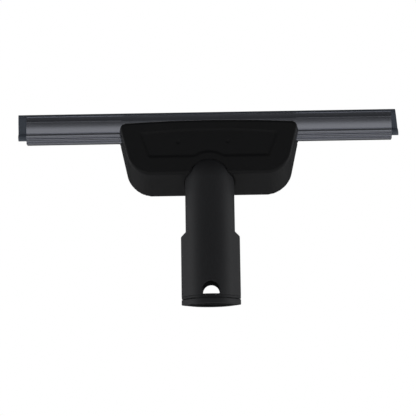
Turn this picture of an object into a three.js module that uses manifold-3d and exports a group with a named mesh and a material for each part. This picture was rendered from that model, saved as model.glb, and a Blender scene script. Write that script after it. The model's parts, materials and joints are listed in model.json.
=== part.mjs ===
// Window squeegee head: a moulded head on a keyed socket for a wand, which carries an aluminium
// channel with a rubber blade that slides out lengthwise. Millimetres, +Z up from the mouth of the
// socket to the blade, X along the blade, +Y towards the window.
import * as THREE from "three";
import { mergeVertices } from "three/addons/utils/BufferGeometryUtils.js";
import Module from "manifold-3d";

const wasm = await Module();
wasm.setup();

// ---- driving dimensions ----
const fit_gap = 0.3; // between pieces that touch
const arc_steps = 6; // segments in each rounded corner
const far = 500; // a reach that clears the whole head, for cuts

// socket
const neck_radius = 16;
const socket_wall = 2;
const socket_depth = 58;
const socket_floor = 3;
const collar_width = 38.2; // across the two key lobes
const collar_height = 44.3; // up to the foot of the sloped shoulders
const shoulder_rise = 2.5;
const lobe_radius = 3.2;
const neck_core_radius = 8.5; // above the floor of the socket
const latch_radius = 5.7; // arched hole for the spring button of the wand
const latch_centre_z = 8.6;
const latch_foot_z = 6.1;
const end_ring_height = 3.5;
const end_groove_height = 1.9;
const end_ring_lip = 0.8;
const spigot_step = 1.2; // how far the end of the socket steps in below the groove

// head
const head_wall = 2.2;
const head_back_foot_y = -10.6;
const head_back_top_y = -12.6;
const head_edge = 2; // chamfer round the back face
const head_foot_z = 73.4; // lowest edge, at the front
const head_height = 44; // at the corners of the top
const head_crown = 1.8;
const back_foot_rise = 11; // how much higher the back face starts
const front_half_top = 61; // half width at the top of the front edge
const front_side_lean = 9.7; // how much narrower it is at the foot
const back_side_lean = 8.4;
const side_flare = 2.8; // how much narrower the back is than the front
const front_foot_round = 15;
const back_foot_round = 12;
const top_round = 3.5;
const dome_rise = 8.1; // the neck ends in a round dome on the back of the head
const cover_thickness = 3.2;
const cover_clearance = 0.8; // behind the cover, in front of the channel

// blade channel, an extrusion
const channel_length = 240;
const channel_seat = 9.3; // how deep it sits in the top of the head
const channel_height = 18.2;
const channel_back_y = 1;
const channel_depth = 8;
const channel_mouth_depth = 5.6; // at the lips, where it is narrower
const channel_wall = 1.3;
const channel_floor = 2.2; // under the bead of the blade

// rubber blade
const blade_overhang_left = 5.6; // past the end of the channel
const blade_overhang_right = 4.7;
const blade_slant = 0.1; // how far the right end leans in for each millimetre of height
const blade_web = 1.9;
const bead_radius = 2.3;
const blade_tip_above = 1.6; // over the top of the channel

// screws
const screw_radius = 1.5;
const screw_head_radius = 2.9;
const screw_head_height = 1.6;
const screw_length = 11;
const boss_radius = 3.4;
const upper_screw_inset = 12; // from the side of the head
const upper_screw_drop = 7.4; // below the channel
const lower_screw_inset = 11.2;
const lower_screw_rise = 9.6; // above the foot of the head
const bracket_screw_inset = 12; // from the end of the bracket
const bracket_screw_radius = 1.2;
const bracket_screw_head = 1.4; // height
const bracket_screw_length = 2.7;

// steam way
const inlet_radius = 3.5;
const inlet_bore = 1.5;
const inlet_reach = 12; // below the floor of the socket
const inlet_flange_radius = 7;
const inlet_flange = 1.8;
const washer_thickness = 1;
const nipple_radius = 2.2;
const nipple_length = 6;
const seal_thickness = 0.9; // radius of the round cord of the seal
const pipe_radius = 4;
const manifold_inset = 23; // from the side of the head
const manifold_rise = 15.1; // above the foot of the head
const manifold_height = 10;
const manifold_back_y = 2.4;
const manifold_wall = 1.6;
const gasket_thickness = 1;
const jet_count = 5;
const jet_margin = 5.4; // between the last jet and the end of the manifold
const jet_width = 6;
const jet_height = 2.4;

// bracket behind the channel
const bracket_inset = 13; // from the side of the head
const bracket_thickness = 1.4;

// ---- sizes that follow from them ----
const floor_top_z = socket_depth + socket_floor;
const inlet_tip_z = socket_depth - inlet_reach;
const head_top_z = head_foot_z + head_height;
const front_half_foot = front_half_top - front_side_lean;
const back_half_top = front_half_top - side_flare;
const back_half_foot = back_half_top - back_side_lean;
const back_foot_z = head_foot_z + back_foot_rise;
const dome_centre_z = head_foot_z + dome_rise;
const channel_foot_z = head_top_z - channel_seat;
const channel_top_z = channel_foot_z + channel_height;
const cover_back_y = channel_back_y + channel_depth + cover_clearance;
const head_front_y = cover_back_y + cover_thickness;
const bead_z = channel_foot_z + channel_floor + fit_gap + bead_radius;
const bead_y = channel_back_y + channel_depth / 2;
const lips_y = channel_back_y + channel_mouth_depth / 2;
const groove_top_z = end_ring_height + end_groove_height;
const gasket_back_y = cover_back_y - fit_gap - gasket_thickness;
const manifold_front_y = gasket_back_y - fit_gap;
const manifold_mid_y = (manifold_back_y + manifold_front_y) / 2;
const flange_foot_z = floor_top_z + washer_thickness + 2 * fit_gap;
const inlet_top_z = flange_foot_z + inlet_flange;
const upper_screw_x = front_half_top - upper_screw_inset;
const upper_screw_z = channel_foot_z - upper_screw_drop;
const lower_screw_x = back_half_foot - lower_screw_inset;
const lower_screw_z = head_foot_z + lower_screw_rise;
const inner_screw_x = (neck_radius + lower_screw_x) / 2;
const cover_screws = [
  ["upper_left", -upper_screw_x, upper_screw_z], ["upper_right", upper_screw_x, upper_screw_z],
  ["lower_left", -lower_screw_x, lower_screw_z], ["lower_right", lower_screw_x, lower_screw_z],
  ["inner_left", -inner_screw_x, lower_screw_z], ["inner_right", inner_screw_x, lower_screw_z],
];
const manifold_half = front_half_top - manifold_inset;
const manifold_foot_z = head_foot_z + manifold_rise;
const jet_pitch = (2 * (manifold_half - manifold_wall - jet_margin) - jet_width) / (jet_count - 1);
const bracket_half = front_half_top - bracket_inset;
const bracket_screw_x = bracket_half - bracket_screw_inset;
const bracket_z = channel_foot_z + 1.2;
const bracket_height = head_top_z - head_wall - 2 * fit_gap - bracket_z;
const bracket_back_y = channel_back_y - fit_gap - bracket_thickness;

// ---- materials ----
const finish = (color, roughness, metalness) =>
  new THREE.MeshStandardMaterial({ color, roughness, metalness });
const black_plastic = () => finish(0x1d1d1f, 0.55, 0);
const grey_plastic = () => finish(0x55575a, 0.6, 0);
const aluminium = () => finish(0x8c8f99, 0.3, 1);
const steel = () => finish(0xa0a0a4, 0.35, 1);
const rubber = () => finish(0x2c3038, 0.8, 0);
const silicone = () => finish(0x9a3b30, 0.7, 0);

// ---- solids ----
function solidOf(geometry) {
  const bare = geometry.index ? geometry.toNonIndexed() : geometry.clone();
  bare.deleteAttribute("normal");
  bare.deleteAttribute("uv");
  const merged = mergeVertices(bare, 1e-4);
  return new wasm.Manifold(new wasm.Mesh({
    numProp: 3,
    vertProperties: merged.attributes.position.array,
    triVerts: new Uint32Array(merged.index.array),
  }));
}

function geometryOf(solid) {
  const { numProp, vertProperties, triVerts } = solid.getMesh();
  const count = vertProperties.length / numProp;
  const positions = new Float32Array(count * 3);
  for (let i = 0; i < count; i++) {
    positions.set(vertProperties.subarray(i * numProp, i * numProp + 3), i * 3);
  }
  const geometry = new THREE.BufferGeometry();
  geometry.setAttribute("position", new THREE.BufferAttribute(positions, 3));
  geometry.setIndex(new THREE.BufferAttribute(triVerts, 1));
  geometry.computeVertexNormals();
  return geometry;
}

const shapeOf = (points) => new THREE.Shape(points.map(([u, v]) => new THREE.Vector2(u, v)));

function prism(points, depth, holes = []) {
  const shape = shapeOf(points);
  shape.holes = holes.map((hole) => new THREE.Path(hole.map(([u, v]) => new THREE.Vector2(u, v))));
  return new THREE.ExtrudeGeometry(shape, { depth, bevelEnabled: false });
}

// An outline in x and y, from z0 up to z1.
const alongZ = (points, z0, z1) => solidOf(prism(points, z1 - z0).translate(0, 0, z0));

// An outline in x and z, from y0 forward to y1.
const alongY = (points, y0, y1) =>
  solidOf(prism(points, y1 - y0).rotateX(Math.PI / 2).translate(0, y1, 0));

// An outline in y and z, from x0 across to x1.
function alongX(points, x0, x1) {
  const turn = new THREE.Matrix4().makeBasis(
    new THREE.Vector3(0, 1, 0), new THREE.Vector3(0, 0, 1), new THREE.Vector3(1, 0, 0));
  return solidOf(prism(points, x1 - x0).applyMatrix4(turn).translate(x0, 0, 0));
}

const box = (x0, x1, y0, y1, z0, z1) =>
  solidOf(new THREE.BoxGeometry(x1 - x0, y1 - y0, z1 - z0)
    .translate((x0 + x1) / 2, (y0 + y1) / 2, (z0 + z1) / 2));

// A turned piece about Z, from a closed profile of [radius, z] points run counter-clockwise.
function turned(profile, steps = 32) {
  const points = profile.map(([r, z]) => new THREE.Vector2(r, z));
  points.push(points[0].clone());
  return solidOf(new THREE.LatheGeometry(points, steps).rotateX(Math.PI / 2));
}

const rod = (radius, z0, z1, steps = 32) => alongZ(circle(0, 0, radius, steps), z0, z1);
const rodY = (x, z, radius, y0, y1, steps = 20) => alongY(circle(x, z, radius, steps), y0, y1);

function circle(u, v, radius, steps = 32) {
  return Array.from({ length: steps }, (_, i) => {
    const a = (2 * Math.PI * i) / steps;
    return [u + radius * Math.cos(a), v + radius * Math.sin(a)];
  });
}

function arc(u, v, radius, from, to, steps) {
  return Array.from({ length: steps + 1 }, (_, i) => {
    const a = from + ((to - from) * i) / steps;
    return [u + radius * Math.cos(a), v + radius * Math.sin(a)];
  });
}

// Corners [u, v, radius] run counter-clockwise, each rounded to its radius.
function rounded(corners) {
  const points = [];
  corners.forEach(([u, v, radius], i) => {
    const here = new THREE.Vector2(u, v);
    const [pu, pv] = corners.at(i - 1);
    const [nu, nv] = corners[(i + 1) % corners.length];
    const back = new THREE.Vector2(pu, pv).sub(here).normalize();
    const on = new THREE.Vector2(nu, nv).sub(here).normalize();
    const half = Math.acos(back.dot(on)) / 2;
    const centre = back.clone().add(on).normalize().multiplyScalar(radius / Math.sin(half)).add(here);
    const start = here.clone().addScaledVector(back, radius / Math.tan(half)).sub(centre).angle();
    const turn = Math.PI - 2 * half;
    points.push(...arc(centre.x, centre.y, radius, start, start + turn, arc_steps));
  });
  return points;
}

// A closed skin through rings of equal count, with a flat cap on the first and the last. Each ring
// runs counter-clockwise as seen from the last one's side.
function loft(rings) {
  const count = rings[0].length;
  const middle = (ring) =>
    ring.reduce((sum, p) => sum.map((s, k) => s + p[k] / count), [0, 0, 0]);
  const positions = [...rings.flat(), middle(rings[0]), middle(rings.at(-1))];
  const low = rings.length * count;
  const high = low + 1;
  const last = (rings.length - 1) * count;
  const faces = [];
  for (let i = 0; i < count; i++) {
    const j = (i + 1) % count;
    faces.push(j, i, low, last + i, last + j, high);
    for (let r = 0; r < rings.length - 1; r++) {
      const a = r * count;
      const b = a + count;
      faces.push(a + i, a + j, b + j, a + i, b + j, b + i);
    }
  }
  const geometry = new THREE.BufferGeometry();
  geometry.setAttribute("position", new THREE.Float32BufferAttribute(positions.flat(), 3));
  geometry.setIndex(faces);
  return solidOf(geometry);
}

// ---- socket ----
// The round neck with a key lobe on each side, drawn inset from the outside.
function collarSection(inset) {
  const big = neck_radius - inset;
  const small = lobe_radius - inset;
  const reach = collar_width / 2 - lobe_radius;
  const lean = Math.acos((big - small) / reach);
  return [
    ...arc(reach, 0, small, -lean, lean, arc_steps),
    ...arc(0, 0, big, lean, Math.PI - lean, 2 * arc_steps),
    ...arc(-reach, 0, small, Math.PI - lean, Math.PI + lean, arc_steps),
    ...arc(0, 0, big, Math.PI + lean, 2 * Math.PI - lean, 2 * arc_steps),
  ];
}

// The same points drawn in onto the round neck, for the sloped shoulders.
const neckSection = (inset) =>
  collarSection(inset).map(([x, y]) => {
    const shrink = Math.min(1, (neck_radius - inset - 0.02) / Math.hypot(x, y));
    return [x * shrink, y * shrink];
  });

const atHeight = (section, z) => section.map(([x, y]) => [x, y, z]);

function latchHole() {
  const half = latch_radius;
  return alongY([
    [-half, latch_foot_z], [half, latch_foot_z],
    ...arc(0, latch_centre_z, half, 0, Math.PI, 2 * arc_steps),
  ], -far, far);
}

// The outside of the neck from the collar up to its dome, grown by a clearance.
function neckBody(grow) {
  const radius = neck_radius + grow;
  const profile = [
    [0, collar_height], [radius, collar_height],
    ...arc(0, dome_centre_z, radius, 0, Math.PI / 2, 2 * arc_steps).slice(0, -1),
    [0, dome_centre_z + radius],
  ];
  return solidOf(new THREE.LatheGeometry(
    profile.map(([r, z]) => new THREE.Vector2(r, z)), 36).rotateX(Math.PI / 2));
}

function socketTube() {
  const shoulder_z = collar_height + shoulder_rise;
  const outside = loft([
    atHeight(collarSection(0), groove_top_z),
    atHeight(collarSection(0), collar_height),
    atHeight(neckSection(0), shoulder_z),
  ]);
  const spigot = alongZ(collarSection(spigot_step), end_ring_lip + fit_gap, groove_top_z + 1);
  const keyed_bore = loft([
    atHeight(collarSection(socket_wall), -1),
    atHeight(collarSection(socket_wall), collar_height - socket_wall),
    atHeight(neckSection(socket_wall), shoulder_z - socket_wall),
  ]);
  const bore_radius = neck_radius - socket_wall;
  const dome_hollow = solidOf(new THREE.SphereGeometry(bore_radius, 32, 16)
    .translate(0, 0, dome_centre_z));
  const rim_z = head_foot_z - 0.5;
  const cover_foot_z = head_foot_z + head_wall;
  return outside.add(spigot).add(neckBody(0))
    .subtract(keyed_bore)
    .subtract(rod(bore_radius, shoulder_z - socket_wall - 1, socket_depth))
    .subtract(rod(inlet_radius + fit_gap, socket_depth - 1, floor_top_z + 1))
    .subtract(rod(neck_core_radius, floor_top_z, dome_centre_z))
    .subtract(dome_hollow)
    .subtract(box(-far, far, head_front_y - fit_gap, far, rim_z, far))
    .subtract(box(-far, far, manifold_back_y - 2 * fit_gap, far, cover_foot_z, far))
    .subtract(latchHole());
}

function endRing() {
  return alongZ(collarSection(0), 0, end_ring_height)
    .subtract(alongZ(collarSection(spigot_step - fit_gap), end_ring_lip, end_ring_height + 1))
    .subtract(alongZ(collarSection(socket_wall), -1, end_ring_height));
}

// ---- head ----
// Outline of the head in x and z, wide and crowned at the top, drawn inset.
function headOutline(half_top, half_foot, foot_z, foot_round, inset) {
  const top = head_top_z - inset;
  const reach = half_top - inset;
  const corner = Math.max(top_round - inset, 0.6);
  const foot_corner = Math.max(foot_round - inset, 1);
  const ring = rounded([
    [-(half_foot - inset), foot_z + inset, foot_corner],
    [half_foot - inset, foot_z + inset, foot_corner],
    [reach, top, corner],
    [-reach, top, corner],
  ]);
  const crown_steps = 8;
  const after = 3 * (arc_steps + 1);
  const [right] = ring[after - 1];
  const crest = Array.from({ length: crown_steps - 1 }, (_, i) =>
    [right - (2 * right * (i + 1)) / crown_steps, top]);
  ring.splice(after, 0, ...crest);
  return ring.map(([x, z]) => {
    const share = z > top - corner ? 1 - (x / reach) ** 2 : 0;
    return [x, z + head_crown * share];
  });
}

const backY = (z) => head_back_foot_y +
  ((head_back_top_y - head_back_foot_y) * (z - back_foot_z)) / (head_top_z - back_foot_z);

const frontRing = (inset, y) =>
  headOutline(front_half_top, front_half_foot, head_foot_z, front_foot_round, inset)
    .map(([x, z]) => [x, y, z]);

const backRing = (inset, forward) =>
  headOutline(back_half_top, back_half_foot, back_foot_z, back_foot_round, inset)
    .map(([x, z]) => [x, backY(z) + forward, z]);

// The space inside the walls of the head, which runs forward past its front edge.
const headInside = (inset, past) => loft([
  frontRing(inset, head_front_y + past),
  frontRing(inset, head_front_y),
  backRing(inset, inset + head_edge),
  backRing(inset + head_edge / 2, inset),
]);

function rearHousing() {
  const outside = loft([
    frontRing(0, head_front_y), backRing(0, head_edge), backRing(head_edge, 0),
  ]);
  const hollow = headInside(head_wall, 1);
  let housing = outside.subtract(hollow);
  for (const [, x, z] of cover_screws) {
    housing = housing.add(rodY(x, z, boss_radius, backY(z) + head_wall / 2, cover_back_y - fit_gap)
      .intersect(outside));
  }
  const rest_back = bracket_back_y - fit_gap;
  for (const x of [-bracket_half + 4, -neck_radius, neck_radius, bracket_half - 4]) {
    housing = housing.add(box(x - 1, x + 1, backY(bracket_z) + head_wall / 2 - 1, rest_back,
      bracket_z, head_top_z - 1).intersect(outside));
  }
  housing = housing
    .subtract(box(-far, far, channel_back_y - fit_gap, far, channel_foot_z - fit_gap, far))
    .subtract(neckBody(fit_gap));
  for (const [, x, z] of cover_screws) {
    housing = housing.subtract(rodY(x, z, screw_radius + fit_gap,
      cover_back_y - screw_length - 1, head_front_y));
  }
  return housing;
}

function frontCover() {
  const whole = frontRing(0, 0).map(([x, , z]) => [x, z]);
  const band = alongY(whole, cover_back_y, head_front_y)
    .intersect(box(-far, far, 0, far, channel_foot_z, far));
  let cover = headInside(head_wall + fit_gap, 1)
    .intersect(box(-far, far, cover_back_y, head_front_y, 0, far))
    .add(band);
  for (const [, x, z] of cover_screws) {
    cover = cover
      .subtract(rodY(x, z, screw_radius + fit_gap, 0, far))
      .subtract(rodY(x, z, screw_head_radius + fit_gap, head_front_y - screw_head_height - fit_gap,
        far));
  }
  const jet_z = manifold_foot_z + manifold_height / 2;
  for (let i = 0; i < jet_count; i++) {
    const x = (i - (jet_count - 1) / 2) * jet_pitch;
    cover = cover.subtract(box(x - jet_width / 2, x + jet_width / 2, 0, far,
      jet_z - jet_height / 2, jet_z + jet_height / 2));
  }
  return cover;
}

// ---- channel and blade ----
function channelOutline() {
  const back = channel_back_y;
  const front = channel_back_y + channel_depth;
  const mouth = channel_back_y + channel_mouth_depth;
  const foot = channel_foot_z;
  const top = channel_top_z;
  return [
    [back + 0.8, foot], [front - 1.6, foot], [front, foot + 1.6], [front, bead_z + bead_radius],
    [mouth, bead_z + bead_radius + 2.8], [mouth, top - 0.6], [mouth - 0.6, top], [back + 0.5, top],
    [back, top - 0.5], [back, top - 2.8], [back + 0.7, top - 4.4], [back, top - 6.2],
    [back, foot + 6.7], [back + 0.5, foot + 6.25], [back, foot + 5.8], [back, foot + 3.5],
    [back + 0.6, foot + 2.9], [back, foot + 2.4], [back, foot + 0.8],
  ];
}

function bladeChannel() {
  const half = channel_length / 2;
  const clear = bead_radius + fit_gap;
  const slot = blade_web / 2 + fit_gap;
  const pocket_top = channel_top_z - 2.4;
  const cavity = alongX(circle(bead_y, bead_z, clear, 20), -half - 1, half + 1)
    .add(alongX([
      [bead_y - slot, bead_z], [bead_y + slot, bead_z],
      [lips_y + slot, pocket_top], [lips_y - slot, pocket_top],
    ], -half - 1, half + 1))
    .add(alongX([
      [lips_y - slot, pocket_top - 0.01], [lips_y + slot, pocket_top - 0.01],
      [lips_y + slot, channel_top_z + 1], [lips_y - slot, channel_top_z + 1],
    ], -half - 1, half + 1));
  const pilot = channel_back_y + channel_wall;
  let channel = alongX(channelOutline(), -half, half).subtract(cavity);
  for (const x of [-bracket_screw_x, bracket_screw_x]) {
    channel = channel.subtract(rodY(x, bracket_z + bracket_height / 2,
      bracket_screw_radius + fit_gap, channel_back_y - 1, pilot, 12));
  }
  return channel;
}

function rubberBlade() {
  const half_web = blade_web / 2;
  const pocket_top = channel_top_z - 2.4;
  const tip = channel_top_z + blade_tip_above;
  const start = -channel_length / 2 - blade_overhang_left;
  const end = channel_length / 2 + blade_overhang_right;
  const blade = alongX(circle(bead_y, bead_z, bead_radius, 20), start, end)
    .add(alongX([
      [bead_y - half_web, bead_z], [bead_y + half_web, bead_z],
      [lips_y + half_web, pocket_top], [lips_y + half_web, tip - 0.5],
      [lips_y + 0.4, tip], [lips_y - 0.4, tip],
      [lips_y - half_web, tip - 0.5], [lips_y - half_web, pocket_top],
    ], start, end));
  const foot = bead_z - bead_radius;
  const rise = 2 * channel_height;
  return blade.subtract(alongY([
    [end, foot], [end + 20, foot], [end + 20, foot + rise], [end - blade_slant * rise, foot + rise],
  ], -far, far));
}

function channelBracket() {
  let bracket = box(-bracket_half, bracket_half, bracket_back_y, bracket_back_y + bracket_thickness,
    bracket_z, bracket_z + bracket_height);
  for (const x of [-bracket_screw_x, bracket_screw_x]) {
    bracket = bracket.subtract(
      rodY(x, bracket_z + bracket_height / 2, bracket_screw_radius + fit_gap,
        bracket_back_y - 1, channel_back_y, 16));
  }
  return bracket;
}

// ---- screws ----
// A pan-head screw along Y whose head faces forward (1) or back (-1).
function screw(x, z, head_y, facing, radius, head_radius, head_height, length) {
  const under = head_y - facing * head_height;
  const end = under - facing * length;
  const head = rodY(x, z, head_radius, Math.min(head_y, under), Math.max(head_y, under));
  const shank = rodY(x, z, radius, Math.min(under, end), Math.max(under, end), 12);
  const drive = head_radius * 0.55;
  const slot = head_radius * 0.14;
  const floor = head_y - facing * head_height * 0.5;
  const deep = [Math.min(floor, head_y + facing), Math.max(floor, head_y + facing)];
  return head.add(shank)
    .subtract(box(x - drive, x + drive, ...deep, z - slot, z + slot))
    .subtract(box(x - slot, x + slot, ...deep, z - drive, z + drive));
}

// ---- steam way ----
function steamInlet() {
  const groove_z = inlet_tip_z + 2;
  const groove_floor = inlet_radius - seal_thickness;
  const seal_width = 2 * seal_thickness + fit_gap;
  return turned([
    [inlet_bore, inlet_tip_z], [inlet_radius - 0.6, inlet_tip_z], [inlet_radius, inlet_tip_z + 0.8],
    [inlet_radius, groove_z], [groove_floor, groove_z], [groove_floor, groove_z + seal_width],
    [inlet_radius, groove_z + seal_width], [inlet_radius, flange_foot_z],
    [inlet_flange_radius, flange_foot_z], [inlet_flange_radius, inlet_top_z],
    [nipple_radius, inlet_top_z], [nipple_radius, inlet_top_z + nipple_length],
    [inlet_bore, inlet_top_z + nipple_length],
  ], 28);
}

function inletSeal() {
  const z = inlet_tip_z + 2 + seal_thickness + fit_gap / 2;
  const r = inlet_radius - seal_thickness + fit_gap + seal_thickness;
  return turned(circle(r, z, seal_thickness, 8), 28);
}

function inletWasher() {
  const z = floor_top_z + fit_gap;
  return turned([
    [inlet_radius + fit_gap, z], [inlet_flange_radius, z],
    [inlet_flange_radius, z + washer_thickness], [inlet_radius + fit_gap, z + washer_thickness],
  ], 28);
}

function steamPipe() {
  const foot = inlet_top_z + fit_gap;
  const head = manifold_foot_z - fit_gap;
  const way = new THREE.CatmullRomCurve3([
    [0, foot], [0, foot + nipple_length / 2], [0, foot + nipple_length + 1],
    [manifold_mid_y, head - 4], [manifold_mid_y, head - 2], [manifold_mid_y, head],
  ].map(([y, z]) => new THREE.Vector3(0, y, z)), false, "catmullrom", 0.3);
  const section = shapeOf(circle(0, 0, pipe_radius, 16));
  section.holes = [new THREE.Path(
    circle(0, 0, nipple_radius + fit_gap, 12).map(([u, v]) => new THREE.Vector2(u, v)))];
  return solidOf(new THREE.ExtrudeGeometry(section, {
    steps: 14, bevelEnabled: false, extrudePath: way,
  }));
}

function steamManifold() {
  const foot = manifold_foot_z;
  const top = foot + manifold_height;
  const wall = manifold_wall;
  const bore = alongZ(circle(0, manifold_mid_y, inlet_bore, 16), foot - 5, foot + 2 * wall);
  return box(-manifold_half, manifold_half, manifold_back_y, manifold_front_y, foot, top)
    .subtract(box(-manifold_half + wall, manifold_half - wall, manifold_back_y + wall,
      manifold_front_y + 1, foot + wall, top - wall))
    .add(alongZ(circle(0, manifold_mid_y, nipple_radius, 16), foot - 3, foot + wall / 2))
    .subtract(bore);
}

function manifoldGasket() {
  const foot = manifold_foot_z;
  const top = foot + manifold_height;
  const wall = manifold_wall;
  return box(-manifold_half, manifold_half, gasket_back_y, gasket_back_y + gasket_thickness, foot, top)
    .subtract(box(-manifold_half + wall, manifold_half - wall, 0, head_front_y,
      foot + wall, top - wall));
}

// ---- the assembly ----
const squeegee_head = new THREE.Group();

function place(name, solid, material) {
  const mesh = new THREE.Mesh(geometryOf(solid), material);
  mesh.name = name;
  squeegee_head.add(mesh);
}

place("socket_tube", socketTube(), black_plastic());
place("socket_end_ring", endRing(), black_plastic());
place("rear_housing", rearHousing(), black_plastic());
place("front_cover", frontCover(), black_plastic());
place("blade_channel", bladeChannel(), aluminium());
place("rubber_blade", rubberBlade(), rubber());
place("channel_bracket", channelBracket(), steel());
place("steam_inlet", steamInlet(), grey_plastic());
place("inlet_seal", inletSeal(), silicone());
place("inlet_washer", inletWasher(), silicone());
place("steam_pipe", steamPipe(), silicone());
place("steam_manifold", steamManifold(), grey_plastic());
place("manifold_gasket", manifoldGasket(), silicone());
for (const [where, x, z] of cover_screws) {
  place("cover_screw_" + where,
    screw(x, z, head_front_y, 1, screw_radius, screw_head_radius, screw_head_height, screw_length),
    steel());
}
for (const [side, x] of [["left", -bracket_screw_x], ["right", bracket_screw_x]]) {
  const head_back = bracket_back_y - fit_gap - bracket_screw_head;
  place("bracket_screw_" + side,
    screw(x, bracket_z + bracket_height / 2, head_back, -1, bracket_screw_radius,
      2 * bracket_screw_radius, bracket_screw_head, bracket_screw_length), steel());
}

export default squeegee_head;
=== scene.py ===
"""Window squeegee head: the looks built round the packed frame.

Every piece is made at its real place, in metres, in the frame of the part: +Z from the mouth of the
socket to the blade, X along the blade, +Y towards the window.
"""

import json
import math

import bmesh
import bpy
import numpy as np
from mathutils import Matrix, Vector


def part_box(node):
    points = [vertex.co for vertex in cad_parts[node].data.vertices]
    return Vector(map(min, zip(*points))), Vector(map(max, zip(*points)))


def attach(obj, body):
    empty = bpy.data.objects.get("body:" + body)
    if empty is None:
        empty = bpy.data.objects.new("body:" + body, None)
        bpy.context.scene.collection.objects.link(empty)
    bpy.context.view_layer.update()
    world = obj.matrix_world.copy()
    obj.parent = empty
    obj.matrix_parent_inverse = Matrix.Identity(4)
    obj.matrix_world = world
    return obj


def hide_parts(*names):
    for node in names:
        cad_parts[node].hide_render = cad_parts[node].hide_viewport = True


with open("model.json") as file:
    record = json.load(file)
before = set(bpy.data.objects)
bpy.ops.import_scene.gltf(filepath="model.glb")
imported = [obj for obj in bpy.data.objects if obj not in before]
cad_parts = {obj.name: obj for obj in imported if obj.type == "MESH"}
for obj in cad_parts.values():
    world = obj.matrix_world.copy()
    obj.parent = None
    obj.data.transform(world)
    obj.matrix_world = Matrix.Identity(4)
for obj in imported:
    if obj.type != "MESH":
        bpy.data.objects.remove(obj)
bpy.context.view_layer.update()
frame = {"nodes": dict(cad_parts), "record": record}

bl_info = {
    "name": "Window squeegee head",
    "version": (1, 0, 0),
    "blender": (4, 5, 0),
    "location": "View3D > Sidebar > Squeegee",
    "description": "Builds the pieces, finishes and studio of a window squeegee head",
    "category": "Object",
}

MM = 0.001
FIT_GAP = 0.3 * MM  # between neighbouring pieces
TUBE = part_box("socket_tube")
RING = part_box("socket_end_ring")
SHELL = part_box("rear_housing")
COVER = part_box("front_cover")
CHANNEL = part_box("blade_channel")
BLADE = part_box("rubber_blade")
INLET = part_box("steam_inlet")

NECK_RADIUS = TUBE[1].y
COLLAR_HALF = RING[1].x
DOME_Z = TUBE[1].z - NECK_RADIUS
COVER_SCREWS = [n for n in frame["nodes"] if n.startswith("cover_screw_")]
BRACKET_SCREWS = [n for n in frame["nodes"] if n.startswith("bracket_screw_")]
PILOT_RADIUS = 1.8 * MM  # of the holes for the cover screws


# ---- distance fields: below zero inside, lengths in metres ----
def round_max(a, b, radius):
    """What is in both a and b, with the edge between them rounded."""
    both = np.hypot(np.maximum(a + radius, 0), np.maximum(b + radius, 0))
    return np.minimum(-radius, np.maximum(a, b)) + both


def smooth_min(a, b, reach):
    """What is in a or in b, with the corner between them filled."""
    share = np.clip(0.5 + 0.5 * (b - a) / reach, 0, 1)
    return b * (1 - share) + a * share - reach * share * (1 - share)


def cut(body, tool, radius=0.3 * MM):
    return round_max(body, -tool, radius)


def slab(value, low, high):
    return np.maximum(low - value, value - high)


def block(x, y, z, low, high):
    sides = [slab(v, a, b) for v, a, b in zip((x, y, z), low, high)]
    return np.maximum(np.maximum(sides[0], sides[1]), sides[2])


def rod_y(x, y, z, centre, radius, low, high):
    return np.maximum(np.hypot(x - centre[0], z - centre[1]) - radius, slab(y, low, high))


def seats(nodes):
    """The box and the centre in x and z of each screw."""
    for node in nodes:
        low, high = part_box(node)
        yield low, high, ((low.x + high.x) / 2, (low.z + high.z) / 2)


def slope_between(values, field, step):
    """The gradient of a field at points, by central differences."""
    gradient = np.empty_like(values)
    for axis in range(3):
        shift = np.zeros(3)
        shift[axis] = step
        ahead, behind = values + shift, values - shift
        gradient[:, axis] = (field(*ahead.T) - field(*behind.T)) / (2 * step)
    return gradient


def skin(field, low, high, step):
    """Points, quads and normals of the surface where the field is zero, by surface nets."""
    axes = [np.arange(a, b + step, step) for a, b in zip(low, high)]
    grid = np.meshgrid(*axes, indexing="ij")
    value = field(*grid)
    inside = value < 0
    size = np.array(value.shape)
    total = np.zeros(size, int)
    place = np.zeros((*size, 3))
    crossings = []
    for axis in range(3):
        ahead = np.roll(value, -1, axis)
        crossed = inside != np.roll(inside, -1, axis)
        last = [slice(None)] * 3
        last[axis] = -1
        crossed[tuple(last)] = False
        at = np.argwhere(crossed)
        a = value[crossed]
        offset = np.zeros((len(at), 3))
        offset[:, axis] = a / (a - ahead[crossed])
        u, v = (axis + 1) % 3, (axis + 2) % 3
        corners = []
        for du, dv in ((0, 0), (1, 0), (1, 1), (0, 1)):
            cell = at.copy()
            cell[:, u] -= du
            cell[:, v] -= dv
            np.add.at(total, tuple(cell.T), 1)
            np.add.at(place, tuple(cell.T), at + offset)
            corners.append(cell)
        crossings.append((corners, inside[crossed]))
    number = np.full(size, -1)
    used = total > 0
    number[used] = np.arange(used.sum())
    points = np.array(low) + place[used] / total[used][:, None] * step
    quads = []
    for corners, rising in crossings:
        ids = np.stack([number[tuple(c.T)] for c in corners], 1)
        ids[~rising] = ids[~rising][:, ::-1]
        quads.append(ids)
    for _ in range(4):
        gradient = slope_between(points, field, step / 8)
        length = np.maximum((gradient**2).sum(1), 0.05)
        move = (field(*points.T) / length)[:, None] * gradient
        points -= np.clip(move, -step / 2, step / 2)
    gradient = slope_between(points, field, step / 8)
    normals = gradient / np.maximum(np.linalg.norm(gradient, axis=1), 1e-9)[:, None]
    return points, np.concatenate(quads), normals


# ---- meshes ----
def new_piece(name, points, faces, slot, normals=None):
    mesh = bpy.data.meshes.new(name)
    mesh.from_pydata([tuple(p) for p in points], [], [tuple(f) for f in faces])
    mesh.shade_smooth()
    if normals is not None:
        mesh.normals_split_custom_set_from_vertices([tuple(n) for n in normals])
    mesh.materials.append(finish_named(slot))
    piece = bpy.data.objects.new(name, mesh)
    bpy.context.scene.collection.objects.link(piece)
    return piece


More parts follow.
